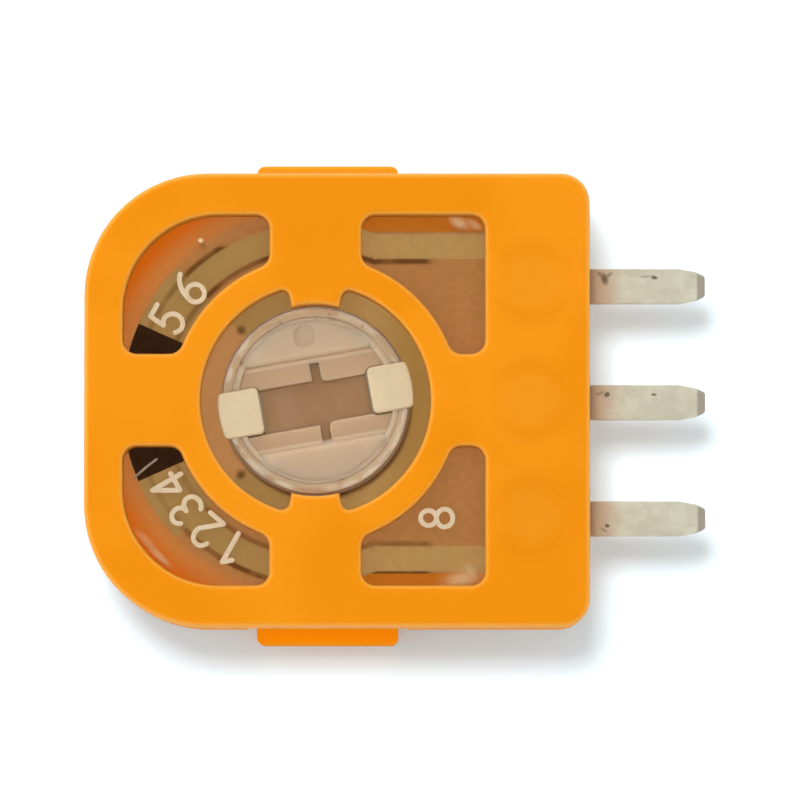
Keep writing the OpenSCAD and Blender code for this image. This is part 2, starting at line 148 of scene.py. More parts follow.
def studio_floor():
    """A white table that glows a little more far off, where the lamps don't reach."""
    bm = bmesh.new()
    bmesh.ops.create_grid(bm, x_segments=1, y_segments=1, size=TABLE_HALF)
    mesh = bpy.data.meshes.new("studio_floor")
    bm.to_mesh(mesh)
    bm.free()
    f = Finish("white_table")
    mesh.materials.append(
        f.done(
            f.skin(
                {
                    "Base Color": (0.765, 0.9, 0.965, 1),
                    "Roughness": 0.9,
                    "Specular IOR Level": 0.0,
                    "Emission Color": (1, 1, 1, 1),
                    "Emission Strength": f.between(f.away_from(0, 0), 60, 250, 0.15, 0.75),
                }
            )
        )
    )
    floor = bpy.data.objects.new("studio_floor", mesh)
    scene.collection.objects.link(floor)
    floor.location.z = (FOOT_Z - 0.002) * MM
    return floor


# ---------------------------------------------------------------- finishes
def shown(red, green, blue):
    """The paint that looks like this 0 to 255 colour once the studio light is on it."""

    def straight(value):
        value /= 255
        return value / 12.92 if value <= 0.04045 else ((value + 0.055) / 1.055) ** 2.4

    return tuple(min(straight(v) / FACE_LIGHT, 1) for v in (red, green, blue)) + (1,)


class Finish:
    """A node material read in millimetres on the part's own axes."""

    def __init__(self, name):
        self.material = bpy.data.materials.new(name)
        self.material.use_nodes = True
        self.tree = self.material.node_tree
        self.tree.nodes.clear()
        self.output = self.add("ShaderNodeOutputMaterial")
        place = self.add("ShaderNodeTexCoord").outputs["Object"]
        self.place = self.add("ShaderNodeMapping", {"Vector": place, "Scale": (1 / MM,) * 3}).outputs[0]
        self.x, self.y, self.z = self.add("ShaderNodeSeparateXYZ", {0: self.place}).outputs

    def add(self, kind, values=None, **settings):
        node = self.tree.nodes.new(kind)
        for name, value in settings.items():
            setattr(node, name, value)
        for socket, value in (values or {}).items():
            self.feed(node, socket, value)
        return node

    def feed(self, node, socket, value):
        if isinstance(value, bpy.types.NodeSocket):
            self.tree.links.new(value, node.inputs[socket])
        else:
            node.inputs[socket].default_value = value

    def math(self, operation, a, b=0.0):
        return self.add("ShaderNodeMath", {0: a, 1: b}, operation=operation).outputs[0]

    def times(self, *amounts):
        result = amounts[0]
        for amount in amounts[1:]:
            result = self.math("MULTIPLY", result, amount)
        return result

    def most(self, *amounts):
        result = amounts[0]
        for amount in amounts[1:]:
            result = self.math("MAXIMUM", result, amount)
        return result

    def between(self, value, low, high, start=0.0, end=1.0):
        """start where value is low, end where it is high, and a smooth step between them."""
        return self.add(
            "ShaderNodeMapRange",
            {"Value": value, "From Min": low, "From Max": high, "To Min": start, "To Max": end},
            interpolation_type="SMOOTHSTEP",
        ).outputs[0]

    def band(self, value, low, high, soft):
        """1 between low and high, falling to 0 over soft on each side."""
        rise = self.between(value, low - soft / 2, low + soft / 2)
        fall = self.between(value, high - soft / 2, high + soft / 2, 1, 0)
        return self.times(rise, fall)

    def away_from(self, x, y):
        """Distance in plan from a point."""
        dx = self.math("SUBTRACT", self.x, x)
        dy = self.math("SUBTRACT", self.y, y)
        return self.math("SQRT", self.math("ADD", self.times(dx, dx), self.times(dy, dy)))

    def spot(self, x, y, radius, soft):
        """1 in a round spot, falling to 0 over soft."""
        return self.between(self.away_from(x, y), radius - soft / 2, radius + soft / 2, 1, 0)

    def oval(self, x, y, long, wide, turn=0, soft=0.6):
        """1 in an oval with these half sizes, turned in plan; soft is a share of the size."""
        c, s = math.cos(math.radians(turn)), math.sin(math.radians(turn))
        dx = self.math("SUBTRACT", self.x, x)
        dy = self.math("SUBTRACT", self.y, y)
        u = self.math("ADD", self.times(dx, c / long), self.times(dy, s / long))
        v = self.math("ADD", self.times(dx, -s / wide), self.times(dy, c / wide))
        reach = self.math("SQRT", self.math("ADD", self.times(u, u), self.times(v, v)))
        return self.between(reach, 1 - soft / 2, 1 + soft / 2, 1, 0)

    def noise(self, scale, detail=3.0, rough=0.5, stretch=None):
        place = self.place
        if stretch:
            place = self.add("ShaderNodeMapping", {"Vector": place, "Scale": stretch}).outputs[0]
        return self.add(
            "ShaderNodeTexNoise", {"Vector": place, "Scale": scale, "Detail": detail, "Roughness": rough}
        ).outputs[0]

    def blend(self, amount, first, second):
        node = self.add("ShaderNodeMix", data_type="RGBA")
        for socket, value in ((0, amount), (6, first), (7, second)):
            self.feed(node, socket, value)
        return node.outputs[2]

    def bump(self, height, depth):
        """Raised by depth millimetres where height is 1."""
        return self.add("ShaderNodeBump", {"Height": height, "Distance": depth * MM}).outputs[0]

    def skin(self, values):
        return self.add("ShaderNodeBsdfPrincipled", values).outputs[0]

    def done(self, surface):
        self.tree.links.new(surface, self.output.inputs["Surface"])
        return self.material


def housing_plastic():
    """Orange plastic: painted edge highlights and rivet shade, redder on the ledge behind the board."""
    f = Finish("orange_moulded_plastic")
    aside = f.math("ABSOLUTE", f.y)
    cloud = f.between(f.noise(0.3, 2), 0.4, 0.6)
    colour = f.blend(cloud, shown(250, 154, 16), shown(245, 148, 4))

    # Within the outer walls, with the rounded corners cut off straight.
    inside = f.times(
        f.band(f.x, -4.5, 5.4, 0.1),
        f.between(aside, 4.3, 4.4, 1, 0),
        f.between(f.math("SUBTRACT", f.x, aside), -7.6, -7.4),
    )
    over_rivets = f.most(*(f.spot(rivet.x, rivet.y, 0.9, 0.1) for rivet in RIVETS))
    # Painted highlight: the rolled edges of the face and the window walls are coloured paler, as if catching light,
    # except over the rivets.
    edge = f.times(
        f.most(
            f.band(f.z, FACE_Z - 0.11, FACE_Z - 0.015, 0.03),
            f.times(inside, f.band(f.z, BOARD_Z, FACE_Z - 0.015, 0.03)),
        ),
        f.math("SUBTRACT", 1.0, over_rivets),
    )
    colour = f.blend(f.times(edge, 0.8), colour, shown(252, 173, 66))

    # Round sinks over the rivets, painted as a shaded ring, darker above and below than the sides, with a duller
    # centre.
    for rivet in RIVETS:
        reach = f.away_from(rivet.x, rivet.y)
        slope = f.math("DIVIDE", f.math("ABSOLUTE", f.math("SUBTRACT", f.y, rivet.y)), reach)
        painted_rivet_shade = f.times(f.band(reach, 0.62, 0.88, 0.4), f.between(slope, 0.2, 1, 0.1, 0.6))
        colour = f.blend(painted_rivet_shade, colour, shown(236, 138, 0))
        colour = f.blend(f.between(reach, 0.3, 0.74, 0.6, 0), colour, shown(240, 151, 24))

    # The ledge is redder where no print lies between it and the board.
    beside_pins = f.between(f.x, COAT_END_X, COAT_END_X + 0.3)
    bare = f.most(f.between(f.away_from(0, 0), COAT_R, COAT_R + 0.4), beside_pins)
    ledge = f.blend(bare, (0.73, 0.33, 0.12, 1), (0.82, 0.25, 0.02, 1))
    ledge = f.blend(beside_pins, ledge, (0.66, 0.27, 0.04, 1))
    behind_board = f.times(inside, f.band(f.z, BOARD_BACK_Z - 0.06, BOARD_BACK_Z + 0.12, 0.08))
    colour = f.blend(behind_board, colour, ledge)
    # The hook ledges are painted: the lower one a deeper orange as shade, the upper one paler as lit.
    hook_shade_and_light = f.times(f.between(aside, SIDE_WALL_Y, SIDE_WALL_Y + 0.04), f.between(f.z, 0.34, 0.4, 1, 0))
    upper = f.between(f.y, -1, 1)
    colour = f.blend(hook_shade_and_light, colour, f.blend(upper, shown(247, 146, 0), shown(248, 164, 36)))

    grain = f.noise(9, 3)
    duller_sides = f.between(f.z, FACE_Z - 0.4, FACE_Z - 0.14, 0.35, 0)
    return f.done(
        f.skin(
            {
                "Base Color": colour,
                "Roughness": f.math("ADD", f.between(grain, 0.3, 0.7, 0.36, 0.44), duller_sides),
                "Specular IOR Level": 0.2,
                "Specular Tint": (1, 0.8, 0.5, 1),
                "Subsurface Weight": 0.15,
                "Subsurface Radius": (0.5, 0.2, 0.05),
                "Subsurface Scale": MM,
                "Normal": f.bump(grain, 0.0012),
            }
        )
    )


def amber_board():
    """Clear amber sheet with a soft gloss and a few pale patches painted on its outer side as glints."""
    f = Finish("clear_amber_board")
    clear = f.add("ShaderNodeBsdfTransparent", {"Color": (0.964, 0.894, 0.775, 1)})
    gloss = f.add("ShaderNodeBsdfGlossy", {"Color": (0.8, 0.66, 0.5, 1), "Roughness": 0.2})
    share = f.add("ShaderNodeFresnel", {"IOR": 1.5}).outputs[0]
    lacquer = f.add("ShaderNodeMixShader", {0: share, 1: clear.outputs[0], 2: gloss.outputs[0]}).outputs[0]
    # Painted glints: a pale matt paint in soft patches near the window corners and one small dot.
    glint_paint = f.add("ShaderNodeBsdfDiffuse", {"Color": (0.76, 0.6, 0.33, 1)}).outputs[0]
    glint_patches = f.most(
        f.times(f.oval(3.1, -3.82, 0.36, 0.14, 10, 1.6), 0.42),
        f.times(f.oval(3.34, -3.72, 0.12, 0.18, 30, 1.6), 0.34),
        f.times(f.oval(3.08, 3.83, 0.19, 0.1, -25, 1.5), 0.46),
        f.times(f.oval(3.38, 3.8, 0.16, 0.07, -30, 1.5), 0.36),
        f.times(f.oval(-2.47, 3.46, 0.055, 0.05, 0, 0.8), 0.9),
        f.times(f.oval(-3.36, -3.3, 0.28, 0.06, -44, 1.6), 0.36),
        f.times(f.oval(-3.6, -3.02, 0.3, 0.07, -48, 1.6), 0.24),
    )
    on_top = f.between(f.z, BOARD_Z - 0.02, BOARD_Z - 0.01)
    streaky_glints = f.times(glint_patches, on_top, f.between(f.noise(2.2, 2, 0.5), 0.25, 0.55, 0.55, 1))
    return f.done(f.add("ShaderNodeMixShader", {0: streaky_glints, 1: lacquer, 2: glint_paint}).outputs[0])


def beside_leads(f, reach, soft):
    """1 in the hairlines beside the leads, where the carbon under them shows, kept stronger on their lower sides as
    painted shade.
    """
    round_part = f.math("ABSOLUTE", f.math("SUBTRACT", f.away_from(0, 0), LEAD_R))
    straight_part = f.math("ABSOLUTE", f.math("SUBTRACT", f.math("ABSOLUTE", f.y), LEAD_Y))
    straight = f.between(f.x, LEAD_X - 0.1, LEAD_X + 0.1)
    off = f.math(
        "ADD",
        f.times(straight, straight_part),
        f.times(f.math("SUBTRACT", 1.0, straight), round_part),
    )
    line = f.band(off, LEAD_HALF - 0.01, LEAD_HALF + reach, soft)
    outer = f.between(f.math("ABSOLUTE", f.y), LEAD_Y - 0.05, LEAD_Y + 0.05)
    upper = f.between(f.y, -0.1, 0.1)
    # Painted shade: the lines are kept weaker on the upper side of each lead and full on the lower side.
    lit_side_weaker = f.math("ADD", f.times(outer, upper, 0.9), f.times(f.math("SUBTRACT", 1.0, f.most(outer, upper)), 0.4))
    return f.times(
        line,
        f.math("SUBTRACT", 1.0, lit_side_weaker),
        f.between(f.x, 2.3, 2.6, 1, 0),
        f.between(f.noise(1.6, 2), 0.3, 0.55, 0.6, 1),
    )


def matt_ink(name, first, second, carbon_and_shade_lines=0.0, thin_edge=None, left_colour=None):
    """Dull print mottled between two colours.

    carbon_and_shade_lines is how strongly the carbon beneath shows beside the leads, with painted shade on their
    lower sides, thin_edge the colour where the coat runs out, and left_colour the darker colour of the print to the
    left, with painted shade close round the rotor on the right.
    """
    f = Finish(name)
    grain = f.noise(6, 4, 0.6)
    reach = f.away_from(0, 0)
    left = f.between(f.x, COAT_END_X, COAT_END_X + 0.3, 1, 0)
    colour = f.blend(f.between(grain, 0.3, 0.7), first, second)
    # The print is darker to the left; on the right, close round the rotor, it is painted darker as shade.
    if left_colour:
        colour = f.blend(f.between(f.x, 0.2, 1.2, 1, 0), colour, left_colour)
        shade = f.times(f.between(f.x, 1.2, 2.1), f.between(reach, 2.5, 2.8, 1, 0))
        colour = f.blend(f.times(shade, 0.7), colour, (0.47, 0.36, 0.15, 1))
    if thin_edge:
        near_rotor = f.times(f.between(reach, 2.4, 2.8, 0.6, 0), f.between(f.x, -1.4, -0.6, 1, 0))
        colour = f.blend(near_rotor, colour, (0.7, 0.5, 0.34, 1))
        colour = f.blend(f.times(f.between(reach, COAT_R - 0.36, COAT_R - 0.02), left), colour, thin_edge)
        colour = f.blend(f.times(f.oval(3.34, 2.66, 0.14, 0.34, 12), 0.35), colour, (0.5, 0.36, 0.17, 1))
    if carbon_and_shade_lines:
        # The hairlines beside the leads, with painted shade on their lower sides.
        lines = f.times(beside_leads(f, 0.11, 0.08), carbon_and_shade_lines)
        colour = f.blend(lines, colour, (0.14, 0.07, 0.025, 1))
        x, y = COLLECTOR_END
        ends = f.most(f.spot(-x, y, 0.09, 0.14), f.spot(-x, -y, 0.09, 0.14))
        colour = f.blend(f.times(ends, 0.75), colour, (0.1, 0.045, 0.02, 1))
    return f.done(
        f.skin(
            {
                "Base Color": colour,
                "Roughness": 0.6,
                "Specular IOR Level": 0.2,
                "Normal": f.bump(grain, 0.003),
            }
        )
    )


# Painted highlights along the hub's crest: the angle in degrees and half the length in millimetres.
CREST_HIGHLIGHTS = [
    (143, 0.2),
    (163, 0.16),
    (206, 0.1),
    (228, 0.3),
    (250, 0.22),
    (292, 0.2),
    (308, 0.25),
    (333, 0.2),
    (350, 0.3),
]


def hub_plastic():
    """Milky clear plastic: pale raised halves, painted browner lower down as shade, with darker patches in the
    groove.
    """
    f = Finish("milky_clear_plastic")
    reach = f.away_from(0, 0)
    cloud = f.noise(1.1, 3)
    # Painted shade: the hub is coloured darker and browner the lower its surface lies, darkest in the slot.
    colour = f.blend(f.between(f.z, 1.62, 1.93), shown(182, 143, 102), shown(210, 177, 142))
    colour = f.blend(f.between(f.z, 1.99, 2.17), colour, shown(210, 185, 156))
    colour = f.blend(f.between(cloud, 0.4, 0.7, 0, 0.35), colour, shown(204, 172, 146))

    rim = f.times(f.between(reach, 1.76, 1.84), f.between(f.z, 1.9, 1.95))
    colour = f.blend(rim, colour, shown(209, 175, 137))
    # Painted highlights: pale broken streaks along the rim's crest.
    crest_highlights = f.times(f.band(reach, 1.85, 1.97, 0.05), f.between(f.noise(1.5, 2), 0.5, 0.62, 0, 0.6))
    for turn, long in CREST_HIGHLIGHTS:
        a = math.radians(turn)
        highlight = f.oval(HUB_CREST_R * math.cos(a), HUB_CREST_R * math.sin(a), long, 0.05, turn + 90, 1)
        crest_highlights = f.most(crest_highlights, highlight)
    colour = f.blend(f.times(crest_highlights, 0.85), colour, shown(246, 222, 192))

    # Light gathers along the foot of each raised half and in two soft glints.
    c, s = math.cos(ROTOR_TURN), math.sin(ROTOR_TURN)
    across = f.math("ABSOLUTE", f.math("SUBTRACT", f.times(f.y, c), f.times(f.x, s)))
    foot = f.times(f.band(across, HUB_HALF_Y - 0.08, HUB_HALF_Y + 0.03, 0.06), f.between(f.z, 2.0, 2.1, 1, 0))
    colour = f.blend(f.times(foot, 0.9), colour, shown(236, 208, 176))
    glints = f.most(f.spot(-1.3, 0.98, 0.12, 0.25), f.spot(-1.02, -1.36, 0.14, 0.25))
    colour = f.blend(f.times(glints, 0.6), colour, shown(226, 202, 176))
    # The outer wall and the flash beyond it are painted paler, to lift the shade in the gap round the hub.
    colour = f.blend(f.between(reach, 1.955, 1.98), colour, shown(240, 210, 174))

    # A darker brown in patches along the groove, and in three specks near it.
    groove_brown = shown(132, 104, 76)
    groove_patches = f.between(f.noise(4.2, 2, 0.5), 0.62, 0.7)
    groove = f.band(reach, HUB_GROOVE_R - 0.05, HUB_GROOVE_R + 0.05, 0.06)
    colour = f.blend(f.times(groove_patches, groove, 0.55), colour, groove_brown)
    specks = f.most(f.spot(0.3, 1.85, 0.03, 0.06), f.spot(1.0, 1.59, 0.03, 0.06), f.spot(-0.75, 1.67, 0.03, 0.06))
    colour = f.blend(f.times(specks, 0.6), colour, groove_brown)
    return f.done(
        f.skin(
            {
                "Base Color": colour,
                "Roughness": 0.45,
                "Specular IOR Level": 0.3,
                "Subsurface Weight": 1.0,
                "Subsurface Radius": (0.7, 0.56, 0.42),
                "Subsurface Scale": MM,
                "Coat Weight": 0.1,
                "Coat Roughness": 0.2,
            }
        )
    )


def carrier_plastic():
    f = Finish("cream_moulded_plastic")
    cloud = f.noise(1.5, 3)
    colour = f.blend(f.between(cloud, 0.3, 0.7), shown(229, 208, 169), shown(221, 199, 160))
    return f.done(
        f.skin(
            {
                "Base Color": colour,
                "Roughness": 0.45,
                "Specular IOR Level": 0.4,
                "Subsurface Weight": 0.2,
                "Subsurface Radius": (0.5, 0.4, 0.3),
                "Subsurface Scale": MM,
                "Normal": f.bump(f.noise(10), 0.002),
            }
        )
    )


def tin_plate():
    """Dull tin over brass, with painted orange reflection at the roots, nicked, and grey where the tips were
    sheared.
    """
    f = Finish("dull_tin_plate")
    cloud = f.noise(1.7, 4, 0.6, stretch=(1, 1.6, 1))
    colour = f.blend(f.between(cloud, 0.35, 0.65), shown(229, 226, 203), shown(216, 211, 187))
    patch = f.between(f.noise(3.2, 2, 0.4), 0.52, 0.56)
    colour = f.blend(f.times(patch, 0.3), colour, shown(208, 203, 180))
    # Painted reflection of the orange housing on each pin near its root, with a ragged edge.
    ragged_edge = f.noise(3, 3, 0.5)
    root_reflection = f.between(f.math("ADD", f.x, f.times(ragged_edge, 0.4)), PIN_WALL_X + 0.35, PIN_WALL_X + 1.0, 0.8, 0)
    colour = f.blend(root_reflection, colour, shown(196, 164, 130))
    tip = span("terminal_1")[1].x
    colour = f.blend(f.band(f.x, tip - 0.17, tip + 1, 0.06), colour, shown(176, 168, 152))
    one, two, three = (rivet.y for rivet in RIVETS)
    nicks = f.most(
        f.oval(6.2, one + 0.16, 0.07, 0.11, 15, 1.2),
        f.times(f.oval(6.12, one + 0.25, 0.1, 0.04, -40, 1.2), 0.7),
        f.times(f.oval(6.29, one + 0.24, 0.1, 0.035, 40, 1.2), 0.6),
        f.oval(7.27, one + 0.19, 0.07, 0.04, -8, 1),
        f.times(f.oval(7.08, one + 0.21, 0.12, 0.03, 5), 0.4),
        f.oval(6.25, two + 0.17, 0.06, 0.05, 30),
        f.times(f.oval(6.1, two + 0.2, 0.1, 0.03, 20), 0.5),
        f.oval(7.26, two + 0.17, 0.06, 0.025),
        f.oval(6.25, three - 0.15, 0.05, 0.04, 0),
        f.times(f.oval(6.18, three - 0.24, 0.09, 0.03, -30), 0.5),
    )
    colour = f.blend(f.times(nicks, 0.85), colour, shown(96, 80, 50))
    return f.done(
        f.skin(
            {
                "Base Color": colour,
                "Metallic": 0.15,
                "Roughness": f.between(cloud, 0.3, 0.7, 0.38, 0.52),
                "Normal": f.bump(cloud, 0.012),
            }
        )
    )


def spring_metal():
    f = Finish("bright_spring_metal")
    brushed = f.noise(6, 3, 0.5, stretch=(1, 6, 1))
    colour = f.blend(brushed, shown(214, 200, 160), shown(196, 180, 140))
    return f.done(
        f.skin({"Base Color": colour, "Metallic": 0.9, "Roughness": 0.3, "Normal": f.bump(brushed, 0.002)})
    )


# ---------------------------------------------------------------- shaping
def solid_copy(node):
    """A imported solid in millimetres, with its triangles joined and its flat faces whole."""
    bm = bmesh.new()
    bm.from_mesh(solids[node].data)
    bmesh.ops.scale(bm, vec=(1 / MM,) * 3, verts=bm.verts)
    bmesh.ops.remove_doubles(bm, verts=bm.verts, dist=0.0005)
    bmesh.ops.dissolve_limit(
        bm, angle_limit=math.radians(0.6), use_dissolve_boundaries=False, verts=bm.verts, edges=bm.edges
    )
    return bm


def sharp_edges(bm, wanted=None):
    """The edges that turn by more than 30 degrees, or the wanted ones of them."""
    limit = math.radians(30)
    return [
        e
        for e in bm.edges
        if len(e.link_faces) == 2 and e.calc_face_angle(0) > limit and (wanted is None or wanted(e))
    ]


def round_off(bm, edges, width, segments):
    """Rolls edges over by width millimetres."""
    bmesh.ops.bevel(
        bm,
        geom=edges,
        offset=width,
        offset_type="OFFSET",
        segments=segments,
        profile=0.5,
        affect="EDGES",
        clamp_overlap=False,
        loop_slide=False,
        material=-1,
    )


def spun_ring(bm, profile, x=0.0, y=0.0, steps=48):
    """A closed profile of (radius, z) points turned once round an upright axis."""
    verts = [bm.verts.new((x + r, y, z)) for r, z in profile]
    edges = [bm.edges.new((a, b)) for a, b in zip(verts, verts[1:] + verts[:1])]
    bmesh.ops.spin(
        bm,
        geom=verts + edges,
        cent=(x, y, 0),
        axis=(0, 0, 1),
        angle=math.tau,
        steps=steps,
        use_merge=True,
    )
    bmesh.ops.recalc_face_normals(bm, faces=bm.faces)


def corner_normals(bm, smooth):
    """A normal for each face corner: flat faces stay flat and the rounds beside them run into them."""
    bm.normal_update()
    limit = math.radians(smooth)
    area = {f: f.calc_area() for f in bm.faces}

    def near(face, other):
        return face.normal.angle(other.normal, 0) < limit

    def is_flat(face):
        others = [o for e in face.edges for o in e.link_faces if o is not face and near(face, o)]
        return all(area[face] > 6 * area[o] for o in others)

    flat = {f for f in bm.faces if is_flat(f)}
    normals = []
    for face in bm.faces:
        for loop in face.loops:
            around = [o for o in loop.vert.link_faces if near(face, o)]
            leads = [o for o in around if o in flat]
            if face in flat:
                normals.append(face.normal.copy())
            elif leads:
                normals.append(max(leads, key=area.get).normal.copy())
            else:
                normals.append(sum((o.normal * area[o] for o in around), Vector()).normalized())
    return normals


def keep(bm, name, body, finish, replaced=(), smooth=34):
    """Brings a shape to metres and makes it a piece on its body."""
    normals = corner_normals(bm, smooth)
    bmesh.ops.scale(bm, vec=(MM,) * 3, verts=bm.verts)
    mesh = bpy.data.meshes.new(name)
    bm.to_mesh(mesh)
    bm.free()
    mesh.materials.append(finish)
    mesh.shade_smooth()
    mesh.normals_split_custom_set(normals)
    piece = bpy.data.objects.new(name, mesh)
    scene.collection.objects.link(piece)
    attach(piece, body)
    if replaced:
        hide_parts(*replaced)
    return piece


# ---------------------------------------------------------------- housing and board
def housing_shell(finish):
    """The housing with its outer edges, window edges and back edges rolled over."""
    bm = solid_copy("housing")

    def on_face(edge):
        return all(abs(v.co.z - FACE_Z) < 0.001 for v in edge.verts)

    def outside(edge):
        return on_face(edge) and min(v.co.z for f in edge.link_faces for v in f.verts) < BOARD_Z - 0.1

    def at_back(edge):
        return all(v.co.z < 0.001 for v in edge.verts)

    round_off(bm, sharp_edges(bm, outside), 0.14, 4)
    round_off(bm, sharp_edges(bm, on_face), 0.12, 4)
    round_off(bm, sharp_edges(bm, at_back), 0.04, 2)
    return keep(bm, "housing_shell", "body", finish, ["housing"])


def board_slab(finish):
    """The board, held a hair off the prints behind it."""
    bm = solid_copy("resistor_board")
    for v in bm.verts:
        if v.co.z < BOARD_Z - 0.1:
            v.co.z += 0.01
    return keep(bm, "board_slab", "body", finish, ["resistor_board"])


# ---------------------------------------------------------------- printed marks
def arc(x, y, wide, high, start, end, steps=20):
    turns = [math.radians(start + (end - start) * i / steps) for i in range(steps + 1)]
    return [(x + wide * math.cos(a), y + high * math.sin(a)) for a in turns]


# Plain numbers as pen strokes, on a body one unit high.
FIGURES = {
    "1": [[(0.14, 0.76), (0.34, 0.93), (0.34, 0.07)]],
    "2": [arc(0.3, 0.68, 0.22, 0.25, 165, -30) + [(0.08, 0.07), (0.54, 0.07)]],
    "3": [arc(0.29, 0.715, 0.2, 0.215, 150, -90), arc(0.28, 0.285, 0.24, 0.215, 90, -150)],
    "4": [[(0.42, 0.07), (0.42, 0.93), (0.06, 0.3), (0.56, 0.3)]],
    "5": [[(0.5, 0.93), (0.15, 0.93), (0.11, 0.52)] + arc(0.28, 0.33, 0.24, 0.26, 130, -140)],
    "6": [arc(0.3, 0.31, 0.23, 0.24, 0, 360), arc(0.55, 0.31, 0.48, 0.66, 180, 108)],
    "8": [arc(0.3, 0.72, 0.2, 0.21, 0, 360), arc(0.3, 0.29, 0.24, 0.22, 0, 360)],
}


def pen_stroke(bm, points, width, height, place):
    """A raised line of ink along points in a plane, with round ends and round sharp turns."""
    for i in range(1, len(points) - 1):
        before, here, after = (Vector(p) for p in points[i - 1 : i + 2])
        if (here - before).angle(after - here, 0) > math.radians(40):
            pen_stroke(bm, points[: i + 1], width, height, place)
            pen_stroke(bm, points[i:], width, height, place)
            return
    curve = bpy.data.curves.new("stroke", "CURVE")
    curve.dimensions = "3D"
    curve.bevel_depth = width / 2
    curve.bevel_resolution = 3
    spline = curve.splines.new("POLY")
    spline.points.add(len(points) - 1)
    for point, (x, y) in zip(spline.points, points):
        point.co = (x, y, 0, 1)
    tube = bpy.data.objects.new("stroke", curve)
    scene.collection.objects.link(tube)
    shape = bpy.data.meshes.new_from_object(tube.evaluated_get(bpy.context.evaluated_depsgraph_get()))
    bpy.data.objects.remove(tube)
    flatten = Matrix.Diagonal((1, 1, 2 * height / width, 1))
    shape.transform(place @ flatten)
    bm.from_mesh(shape)
    bpy.data.meshes.remove(shape)
    for x, y in (points[0], points[-1]):
        bmesh.ops.create_uvsphere(
            bm,
            u_segments=16,
            v_segments=8,
            radius=width / 2,
            matrix=place @ flatten @ Matrix.Translation((x, y, 0)),
        )


def printed_figure(bm, figure, x, y, up_deg, height, width=0.105):
    """A plain number whose top points along up_deg."""
    ink = 0.006
    place = (
        Matrix.Translation((x, y, BOARD_Z))
        @ Matrix.Rotation(math.radians(up_deg - 90), 4, "Z")
        @ Matrix.Scale(height, 4)
        @ Matrix.Translation((-0.3, -0.5, 0))
    )
    for points in FIGURES[figure]:
        pen_stroke(bm, points, width / height, ink / height, place)


def board_figures(finish):
    """Plain numbers around the carbon's ends, and one beside the lower lead."""
    ring_r = 3.63
    bm = bmesh.new()
    for figure, turn in (("1", 240.3), ("2", 230), ("3", 220), ("4", 210), ("5", 151), ("6", 138)):
        a = math.radians(turn)
        printed_figure(bm, figure, ring_r * math.cos(a), ring_r * math.sin(a), turn, 0.82)
    printed_figure(bm, "8", 2.59, -2.5, 180, 0.8)
    piece = keep(bm, "board_figures", "body", finish, smooth=60)
    piece.visible_shadow = False


def pale_hairline(finish):
    """A faint hairline over the end of the carbon."""
    bm = bmesh.new()
    pen_stroke(bm, [(-3.88, -1.63), (-3.62, -1.4), (-3.41, -1.24)], 0.05, 0.004, Matrix.Translation((0, 0, BOARD_Z)))
    piece = keep(bm, "pale_hairline", "body", finish, smooth=60)
    piece.visible_shadow = False


# ---------------------------------------------------------------- pins and rivets
def solder_pin(i, finish):
    """A terminal blank with rolled faces and the round spot where it was coined."""
    bm = solid_copy(f"terminal_{i}")
    low, high = span(f"terminal_{i}")
    round_off(bm, sharp_edges(bm), 0.035, 2)
    centre_y = RIVETS[i - 1].y
    cuts = [(Vector((PIN_WALL_X + 0.08 * n, 0, 0)), Vector((1, 0, 0))) for n in range(1, 31)]
    cuts += [(Vector((0, centre_y + 0.07 * n, 0)), Vector((0, 1, 0))) for n in range(-4, 5)]
    for point, normal in cuts:
        geometry = bm.verts[:] + bm.edges[:] + bm.faces[:]
        bmesh.ops.bisect_plane(bm, geom=geometry, dist=0.0001, plane_co=point, plane_no=normal)
    coin = Vector((6.62 + 0.06 * i, centre_y - 0.02, 0))
    coin_r, coin_depth, roll_depth = 0.24, 0.025, 0.008
    for v in bm.verts:
        if v.co.x < PIN_WALL_X + 0.02 or min(v.co.z - low.z, high.z - v.co.z) > 0.002:
            continue
        side = 1 if v.co.z > (low.z + high.z) / 2 else -1
        reach = (Vector((v.co.x, v.co.y, 0)) - coin).length
        dent = coin_depth * max(0.0, 1 - (reach / coin_r) ** 2) ** 2
        roll = roll_depth * (noise.noise(v.co * 2.3) - 0.4)
        v.co.z += side * min(roll - dent, 0)
    return keep(bm, f"solder_pin_{i}", "body", finish, [f"terminal_{i}"])


def hollow_rivet(i, finish):
    """A barrel with a head at one end and a rolled lip at the other."""
    low, high = span(f"rivet_{i}")
    centre = RIVETS[i - 1]
    flange = (high.x - low.x) / 2
    barrel, bore, cap = 0.3, 0.16, 0.1
    profile = [
        (bore, low.z + 0.08),
        (bore + 0.05, low.z + 0.02),
        (bore + 0.12, low.z),
        (flange - 0.1, low.z),
        (flange - 0.03, low.z + 0.02),
        (flange, low.z + 0.05),
        (flange - 0.02, low.z + cap - 0.01),
        (flange - 0.05, low.z + cap),
        (barrel, low.z + cap),
        (barrel, high.z - cap),
        (flange, high.z - cap),
        (flange, high.z - 0.03),
        (flange - 0.03, high.z),
        (bore + 0.04, high.z),
        (bore, high.z - 0.04),
    ]
    bm = bmesh.new()
    spun_ring(bm, profile, centre.x, centre.y)
    return keep(bm, f"hollow_rivet_{i}", "body", finish, [f"rivet_{i}"])


# ---------------------------------------------------------------- rotor
def drive_disc(finish):
    """The hub, with soft lips along its raised halves and its slot."""
    bm = solid_copy("drive_hub")
    upright = Matrix.Rotation(-ROTOR_TURN, 3, "Z")

    def lip(edge):
        low, high = sorted((upright @ v.co for v in edge.verts), key=lambda co: co.z)
        on_halves = all(abs(abs(co.y) - HUB_HALF_Y) < 0.01 for co in (low, high))
        return low.z > HUB_Z - 0.06 and on_halves and edge.calc_length() > 1

    def slot_lip(edge):
        return all(abs(v.co.z - HUB_Z + 0.3) < 0.01 and abs((upright @ v.co).y) < 0.62 for v in edge.verts)

    round_off(bm, sharp_edges(bm, lip), 0.15, 6)
    round_off(bm, sharp_edges(bm, slot_lip), 0.05, 3)
    return keep(bm, "drive_disc", "rotor", finish, ["drive_hub"])


